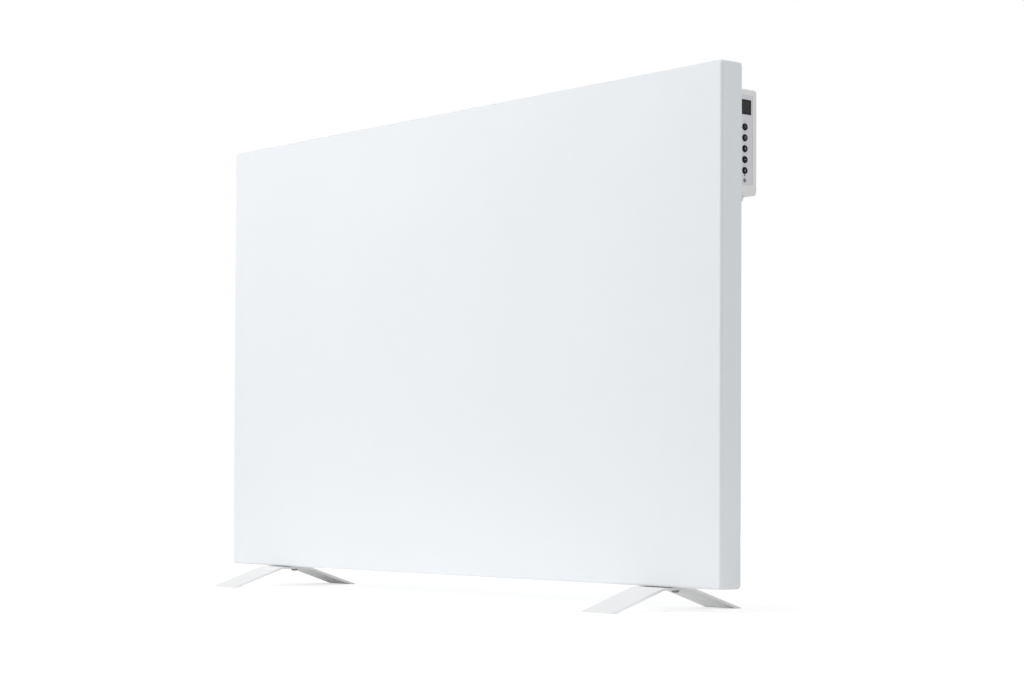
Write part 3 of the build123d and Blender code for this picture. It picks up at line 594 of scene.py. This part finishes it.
phenolic = moulded("phenolic", (0.05, 0.045, 0.042), 700.0, 0.03 * mm, 0.4)
glaze = moulded("steatite_glaze", (0.78, 0.76, 0.70), 220.0, 0.05 * mm, 0.12, drift=60.0)
silicone = moulded("silicone_sleeve", (0.74, 0.73, 0.70), 900.0, 0.03 * mm, 0.55, drift=90.0)
earth_sleeve = moulded("earth_sleeve", (0.20, 0.42, 0.10), 900.0, 0.03 * mm, 0.55, drift=90.0)
rubber = moulded("black_rubber", (0.03, 0.03, 0.031), 1400.0, 0.04 * mm, 0.6, 0.3)
dress(phenolic, "thermal_cutout")
dress(glaze, "terminal_block")
dress(silicone, "element_leads", "supply_leads")
dress(earth_sleeve, "earth_lead")
dress(zinc, "earth_stud")
dress(rubber, "lead_grommet")

# ---------------------------------------------------------------- feet
# Two 3 mm steel strips, cut, bent over a former and powder coated like the panel. Two dark grey M5
# screws go up through each into rivet nuts in the bottom of the tray, whose flanges space it off.

foot_thin, foot_thick = (0.895, 0.897, 0.898), (0.912, 0.913, 0.914)
dress(powder_coat("foot_coat", foot_thin, foot_thick, 0.15 * mm, (0.40, 0.55)), "foot_left", "foot_right")

foot_strip, foot_screw_step = 3.0 * mm, 20.0 * mm
row_low, row_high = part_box("foot_screws")
foot_screw_y = (row_low.y + row_high.y) / 2
foot_columns = []
for foot_name in ("foot_left", "foot_right"):
    foot_low, foot_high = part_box(foot_name)
    foot_middle = (foot_low.x + foot_high.x) / 2
    foot_columns += [foot_middle - foot_screw_step, foot_middle + foot_screw_step]
seat_z = foot_high.z - foot_strip
# the foot screws are plated metal in a dark grey
dark_grey_screw_metal = plated("dark_grey_screw_metal", (0.15, 0.15, 0.155), (0.23, 0.23, 0.235), 0.42, 0.9)
foot_screw = screw_form(
    head_radius=4.75 * mm, head_height=3.0 * mm, shank_radius=2.45 * mm,
    length=15.0 * mm, thread_length=13.0 * mm, pitch=0.8 * mm,
)
foot_screw_places = [(column, foot_screw_y, seat_z) for column in foot_columns]
strip_screws = copies(*foot_screw, foot_screw_places, (0, 0, 1), spin_step=0.61)
foot_screws = add_mesh("foot_screw_set", *strip_screws)
finish_mesh(foot_screws, dark_grey_screw_metal)
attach(foot_screws, "heater")
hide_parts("foot_screws")

foot_nut = rivet_nut_form(
    bore_radius=2.5 * mm, flange_radius=5.4 * mm, flange_height=0.8 * mm,
    sleeve_radius=4.0 * mm, length=13.0 * mm, pitch=0.8 * mm,
)
foot_nut_places = [(column, foot_screw_y, panel_low.z) for column in foot_columns]
foot_nuts = add_mesh("foot_rivet_nut_set", *copies(*foot_nut, foot_nut_places, (0, 0, 1)))
finish_mesh(foot_nuts, zinc)
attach(foot_nuts, "heater")
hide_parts("foot_rivet_nuts")

# ---------------------------------------------------------------- control box
# A base plate and a deep cover moulded in white ABS from a spark-eroded tool, which leaves a fine
# grain. Four screws hold the base, and four long ones, sunk in wells, close the cover.

box_low, box_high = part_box("control_cover")
box_skin = ((0.872, 0.872, 0.874), 1800.0, 0.06 * mm, 0.45)
dress(moulded("box_base_plastic", *box_skin), "control_base")
# the cover's edges carry a painted highlight
dress(moulded("box_cover_plastic", *box_skin, edged="control_cover"), "control_cover")
dress(zinc, "base_screws")

closing_inset, well_depth = 6.0 * mm, 8.0 * mm
closing_places = [
    (x, box_high.y - well_depth, z)
    for x in (box_low.x + closing_inset, box_high.x - closing_inset)
    for z in (box_low.z + closing_inset, box_high.z - closing_inset)
]
closing_screw = screw_form(
    head_radius=2.8 * mm, head_height=2.2 * mm, shank_radius=1.4 * mm,
    length=26.0 * mm, thread_length=11.0 * mm, pitch=1.2 * mm,
)
long_screws = copies(*closing_screw, closing_places, (0, -1, 0), spin_step=0.97)
closing_screws = add_mesh("box_closing_screws", *long_screws)
finish_mesh(closing_screws, zinc)
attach(closing_screws, "heater")
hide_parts("cover_screws")

# ---------------------------------------------------------------- cable gland
# A tapered bush of white nylon, with three bending grooves round it, whose threaded neck goes up
# through the floor of the box into a hexagon nut.


def gland_form():
    """Bush, neck to -Z and tip to +Z. Down the bore, round the tip and the nozzle, up the body with its
    radius less a groove depth times sin^2 over each groove, over the collar, and up the threaded neck."""
    angle, around = angles(round_columns), np.zeros(round_columns)
    bore, soft = 3.6 * mm, 0.3 * mm
    tip, tip_height = 4.7 * mm, 8.0 * mm
    shoulder, shoulder_height = 6.7 * mm, 5.0 * mm
    body, grooves, groove_depth = 7.3 * mm, 3, 0.35 * mm
    collar, collar_height = 7.5 * mm, 1.4 * mm
    neck, neck_height = 6.0 * mm, 6.2 * mm
    thread_pitch, thread_depth = 1.0 * mm, 0.3 * mm
    body_rows, thread_rows = 31, 32
    rise = np.linspace(1.0, 0.0, body_rows)[:, None]
    taper = shoulder + (body - shoulder) * (1.0 - rise) - groove_depth * np.sin(grooves * pi * rise) ** 2
    taper_height = collar_height + (shoulder_height - collar_height) * rise
    up = np.linspace(0.0, -neck_height, thread_rows)[:, None]
    thread = neck - thread_depth * triangle_wave(up / thread_pitch + angle / (2 * pi))
    nozzle = [
        (bore, -neck_height), (bore, tip_height - soft),
        (bore + soft, tip_height), (tip - soft, tip_height),
        (tip, tip_height - soft), (tip, shoulder_height + 2 * soft),
        (shoulder - soft, shoulder_height + soft),
    ]
    rim = [(collar, collar_height), (collar, soft), (collar - soft, 0.0)]
    radius = np.concatenate(
        [[r + around for r, _ in nozzle], taper + around, [r + around for r, _ in rim], thread]
    )
    height = np.concatenate(
        [[h + around for _, h in nozzle], taper_height + around, [h + around for _, h in rim], up + around]
    )
    return spun(radius, height)[::-1], grid_faces(len(radius), len(angle), closed=True)


nylon = moulded("white_nylon", (0.88, 0.88, 0.885), 900.0, 0.04 * mm, 0.4)
gland_low, gland_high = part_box("cable_gland")
gland_place = ((gland_low.x + gland_high.x) / 2, (gland_low.y + gland_high.y) / 2, box_low.z)
gland_points, gland_faces = gland_form()
gland = add_mesh("cable_bush", set_in(gland_points, gland_place, (0, 0, -1)), gland_faces)
finish_mesh(gland, nylon)
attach(gland, "heater")
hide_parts("cable_gland")
dress(nylon, "gland_nut")

# ---------------------------------------------------------------- face label and display
# A pale grey film with a fine texture, die cut and glued into the recess. The smoked acrylic lens has a
# black printed border. The lens is made opaque, and the two unlit digits behind it, of seven segments
# each, are faint marks on its face.

label_low, label_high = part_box("face_label")
lens_low, lens_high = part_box("display_window")
face_y = (label_low.y + label_high.y) / 2
ink_foot, ink_top = -0.1 * mm, 0.02 * mm
dress(moulded("label_film", (0.778, 0.770, 0.812), 2600.0, 0.05 * mm, 0.5, 0.35), "face_label")
dress(moulded("smoked_acrylic", (0.024, 0.024, 0.025), 300.0, 0.004 * mm, 0.16, 0.12), "display_window")
dress(moulded("display_block", (0.03, 0.03, 0.032), 500.0, 0.02 * mm, 0.4), "display_module")


def printed(path, half_width, low, high, closed=False):
    """Printed line with a little body: a four-sided bar carried along a path. Its sides lie half a width
    along the path's normal, and its foot and top at the two heights, which may change along it."""
    path = np.array(path, float)
    if closed:
        run = np.roll(path, -1, axis=0) - np.roll(path, 1, axis=0)
    else:
        run = np.gradient(path, axis=0)
    run /= np.linalg.norm(run, axis=1, keepdims=True)
    normal = np.stack([-run[:, 1], run[:, 0]], axis=1) * np.reshape(half_width, (-1, 1))
    low, high = (np.broadcast_to(np.reshape(level, (-1, 1)), (len(path), 1)) for level in (low, high))
    corners = [(-1, low), (1, low), (1, high), (-1, high)]
    bar = np.stack([np.hstack([path + side * normal, level]) for side, level in corners], axis=1)
    return bar.reshape(-1, 3), grid_faces(len(path), len(corners), closed)


def joined(parts):
    """Several (points, faces) parts as one."""
    starts = np.cumsum([0] + [len(points) for points, _ in parts])
    faces = [[start + n for n in face] for start, (_, part) in zip(starts, parts) for face in part]
    return np.concatenate([points for points, _ in parts]), faces


def rounded_path(half_width, half_height, radius):
    """Rectangle with quarter circles for corners, as a closed path."""
    turn = np.linspace(0.0, pi / 2, 6)
    corners = ((1, 1, 0.0), (-1, 1, pi / 2), (-1, -1, pi), (1, -1, 1.5 * pi))
    return np.concatenate([
        np.stack([
            side_x * (half_width - radius) + radius * np.cos(turn + start),
            side_y * (half_height - radius) + radius * np.sin(turn + start),
        ], axis=1)
        for side_x, side_y, start in corners
    ])


def digit(centre_x, width, height, stroke):
    """The seven segments of a digit: three across and four upright, with small gaps between them."""
    half_x, half_y, gap = width / 2, height / 2, 0.9 * stroke
    across = [[(-half_x + gap, y), (half_x - gap, y)] for y in (-half_y, 0.0, half_y)]
    upright = [
        [(x, side * gap), (x, side * (half_y - gap))] for x in (-half_x, half_x) for side in (-1, 1)
    ]
    return [
        printed([(centre_x + x, y) for x, y in ends], stroke / 2, ink_foot, ink_top)
        for ends in across + upright
    ]


lens_middle = (lens_high.x, face_y, (lens_low.z + lens_high.z) / 2)
lens_flange = 1.25 * mm
lens_half_y = (lens_high.y - lens_low.y) / 2 - lens_flange
lens_half_z = (lens_high.z - lens_low.z) / 2 - lens_flange
border, border_corner = 1.1 * mm, 0.6 * mm
border_path = rounded_path(lens_half_y - border / 2, lens_half_z - border / 2, border_corner)
border_points, border_faces = printed(border_path, border / 2, ink_foot, ink_top, closed=True)
lens_border = add_mesh("display_border", set_in(border_points, lens_middle, (1, 0, 0)), border_faces)
finish_mesh(lens_border, moulded("border_ink", (0.012, 0.012, 0.013), 1500.0, 0.01 * mm, 0.45, 0.2))
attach(lens_border, "heater")

digit_half_step, digit_width, digit_height, segment_width = 3.6 * mm, 4.4 * mm, 9.0 * mm, 0.8 * mm
digit_points, digit_faces = joined([
    segment
    for centre_x in (-digit_half_step, digit_half_step)
    for segment in digit(centre_x, digit_width, digit_height, segment_width)
])
digits = add_mesh("display_digits", set_in(digit_points, lens_middle, (1, 0, 0)), digit_faces)
finish_mesh(digits, moulded("unlit_segment", (0.040, 0.040, 0.041), 900.0, 0.01 * mm, 0.3, 0.2))
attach(digits, "heater")

# ---------------------------------------------------------------- push buttons
# Five caps moulded in matt black, each with a stem, a flange that holds it behind the face, a rounded
# rim and a shallow finger dish. A pale symbol is pad printed in the dish.

button_black = moulded("button_black", (0.010, 0.010, 0.011), 1600.0, 0.03 * mm, 0.62, 0.12)
symbol_ink = moulded("symbol_ink", (0.27, 0.275, 0.28), 1500.0, 0.01 * mm, 0.6, 0.2)
cap_radius, stem_radius, flange_radius = 3.85 * mm, 2.0 * mm, 4.8 * mm
stem_length, flange_top = 3.6 * mm, 4.6 * mm
rim_round, dish_depth = 0.7 * mm, 0.12 * mm
arc_points = 25
once_round = 360.0 * (arc_points - 1) / arc_points


def dish(radius, top):
    """Height of the finger dish: a parabola, lowest at the centre."""
    return top - dish_depth * (1.0 - (radius / (cap_radius - rim_round)) ** 2)


def button_form(top):
    """Button from its stem's end at 0 to its top: stem, flange, cap, quarter-round rim and dish."""
    rim_rows, dish_rows, near_axis = 7, 9, 0.02 * mm
    turn = np.linspace(0.0, pi / 2, rim_rows)
    inward = np.linspace(cap_radius - rim_round, near_axis, dish_rows)[1:]
    steps = [
        (stem_radius, 0.0), (stem_radius, stem_length), (flange_radius, stem_length),
        (flange_radius, flange_top), (cap_radius, flange_top),
    ]
    rim_radius = cap_radius - rim_round + rim_round * np.cos(turn)
    rim_height = top - rim_round + rim_round * np.sin(turn)
    radius = np.concatenate([[r for r, _ in steps], rim_radius, inward])
    height = np.concatenate([[h for _, h in steps], rim_height, dish(inward, top)])
    points = spun(radius[:, None] + np.zeros(round_columns), height[:, None])
    return points, grid_faces(len(radius), round_columns, closed=False)


def arc(radius, start, stop, centre=(0.0, 0.0)):
    """Points along an arc, angles in degrees."""
    turn = np.radians(np.linspace(start, stop, arc_points))
    return np.stack([centre[0] + radius * np.cos(turn), centre[1] + radius * np.sin(turn)], axis=1)


def line(start, stop):
    """Points along a straight line."""
    return np.linspace(start, stop, 5)


def symbol_lines():
    """Per button, from the top: (path, half width, closed) of each line of its symbol, in millimetres."""
    thin, middling, thick, fullest, blunt = 0.19, 0.30, 0.36, 0.62, 0.05
    moon = fullest * np.sin(np.linspace(blunt, pi - blunt, arc_points))
    return [
        [(arc(1.35, 125, 415), thin, False), (line((0, 0.4), (0, 1.8)), thin, False)],
        [
            (arc(1.6, 0, once_round), thin, True), (line((0, -0.1), (0, 1.1)), thin, False),
            (line((-0.1, 0), (0.9, 0)), thin, False),
        ],
        [(line((0, -1.6), (0, 1.6)), thick, False), (line((-1.6, 0), (1.6, 0)), thick, False)],
        [(line((-1.7, 0), (1.7, 0)), middling, False)],
        [(arc(1.1, 70, 320, (0.25, 0.0)), moon, False)],
    ]


for number, symbol in enumerate(symbol_lines(), start=1):
    name = f"button_{number}"
    low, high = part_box(name)
    place = (low.x, (low.y + high.y) / 2, (low.z + high.z) / 2)
    top = high.x - low.x
    points, faces = button_form(top)
    cap = add_mesh(f"push_cap_{number}", set_in(points, place, (1, 0, 0)), faces)
    finish_mesh(cap, button_black)
    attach(cap, f"push_{number}")
    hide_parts(name)
    lines = []
    for flat, half_width, closed in symbol:
        flat = np.array(flat) * mm
        surface = dish(np.linalg.norm(flat, axis=1), top)
        half_width = np.array(half_width) * mm
        lines.append(printed(flat, half_width, surface + ink_foot, surface + ink_top, closed))
    points, faces = joined(lines)
    mark = add_mesh(f"push_symbol_{number}", set_in(points, place, (1, 0, 0)), faces)
    finish_mesh(mark, symbol_ink)
    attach(mark, f"push_{number}")

# ---------------------------------------------------------------- status light and its mark
# A frosted acrylic light pipe behind the film, unlit, with a fine ring printed round it and a small
# dark dot above it.

dress(moulded("frosted_acrylic", (0.18, 0.18, 0.19), 900.0, 0.02 * mm, 0.3), "status_light")
light_low, light_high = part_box("status_light")
light_z = (light_low.z + light_high.z) / 2
dot_rise, dot_radius, dot_columns = 5.6 * mm, 0.95 * mm, 24
dot_place = (label_high.x, face_y, light_z + dot_rise)
dot_points = spun(np.full((2, dot_columns), dot_radius), np.array([ink_foot, ink_top])[:, None])
dot_faces = grid_faces(2, dot_columns, closed=False)
dot = add_mesh("label_dot", set_in(dot_points, dot_place, (1, 0, 0)), dot_faces)
finish_mesh(dot, moulded("dot_ink", (0.03, 0.03, 0.032), 1500.0, 0.01 * mm, 0.5, 0.3))
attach(dot, "heater")

ring_radius, ring_half_width = 2.22 * mm, 0.19 * mm
ring_path = arc(ring_radius, 0, once_round)
ring_points, ring_faces = printed(ring_path, ring_half_width, ink_foot, ink_top, closed=True)
ring_place = (label_high.x, face_y, light_z)
ring = add_mesh("light_ring", set_in(ring_points, ring_place, (1, 0, 0)), ring_faces)
finish_mesh(ring, moulded("ring_ink", (0.20, 0.20, 0.21), 1500.0, 0.01 * mm, 0.5, 0.3))
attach(ring, "heater")

# ---------------------------------------------------------------- boards and what they carry
# Glass-fibre boards under green solder mask with copper tracks, switch bodies with moving plungers, a
# sealed relay, a wound transformer, a sleeved capacitor, a nylon clamp, a tilt switch, a resin bead that
# senses the room, and a flat cable.

copper_cells, copper_half = 240.0, 0.10
board_mask, tree, shader = new_material("solder_mask")
place = on_object(tree)
cells = tree.nodes.new("ShaderNodeTexVoronoi")
cells.feature = "DISTANCE_TO_EDGE"
cells.inputs["Scale"].default_value = copper_cells
cells.inputs["Randomness"].default_value = 0.35
tree.links.new(place, cells.inputs["Vector"])
copper = calc(tree, "LESS_THAN", cells.outputs["Distance"], copper_half)
green = blended(tree, noise(tree, place, 60.0), (0.010, 0.085, 0.030), (0.014, 0.110, 0.040))
tree.links.new(blended(tree, copper, green, (0.045, 0.210, 0.070)), shader.inputs["Base Color"])
tree.links.new(spread(tree, copper, 0.32, 0.22, start=0.0, stop=1.0), shader.inputs["Roughness"])
bumped(tree, copper, 0.04 * mm, shader)
dress(board_mask, "control_board", "power_board")

switch_black = moulded("switch_black", (0.020, 0.020, 0.021), 1200.0, 0.03 * mm, 0.45)
relay_blue = moulded("relay_case", (0.030, 0.060, 0.160), 800.0, 0.03 * mm, 0.35)
core_tape = moulded("bobbin_tape", (0.42, 0.34, 0.10), 500.0, 0.05 * mm, 0.4, drift=120.0)
sleeve = moulded("capacitor_sleeve", (0.030, 0.034, 0.055), 400.0, 0.02 * mm, 0.25)
bead_resin = moulded("bead_resin", (0.030, 0.032, 0.034), 600.0, 0.03 * mm, 0.35)
dress(switch_black, "tact_switches", *(f"plunger_{number}" for number in range(1, 6)))
dress(relay_blue, "relay")
dress(core_tape, "transformer")
dress(sleeve, "capacitor")
dress(nylon, "supply_terminal")
dress(zinc, "tilt_switch", "board_screws", "power_board_screws")
dress(bead_resin, "room_sensor")

core_pitch = 1.27 * mm
ribbon, tree, shader = new_material("ribbon_cable")
place = on_object(tree)
wave = calc(tree, "SINE", calc(tree, "MULTIPLY", axes(tree, place)["Z"], 2 * pi / core_pitch))
ridge_and_groove_shade = spread(tree, wave, 0.0, 1.0, start=-1.0, stop=1.0)
# painted shade in the grooves between the cores and a painted highlight on their crests
tree.links.new(blended(tree, ridge_and_groove_shade, (0.34, 0.35, 0.37), (0.62, 0.63, 0.65)), shader.inputs["Base Color"])
tree.links.new(spread(tree, noise(tree, place, 500.0), 0.4, 0.55), shader.inputs["Roughness"])
bumped(tree, ridge_and_groove_shade, 0.3 * mm, shader)
dress(ribbon, "ribbon_cable")
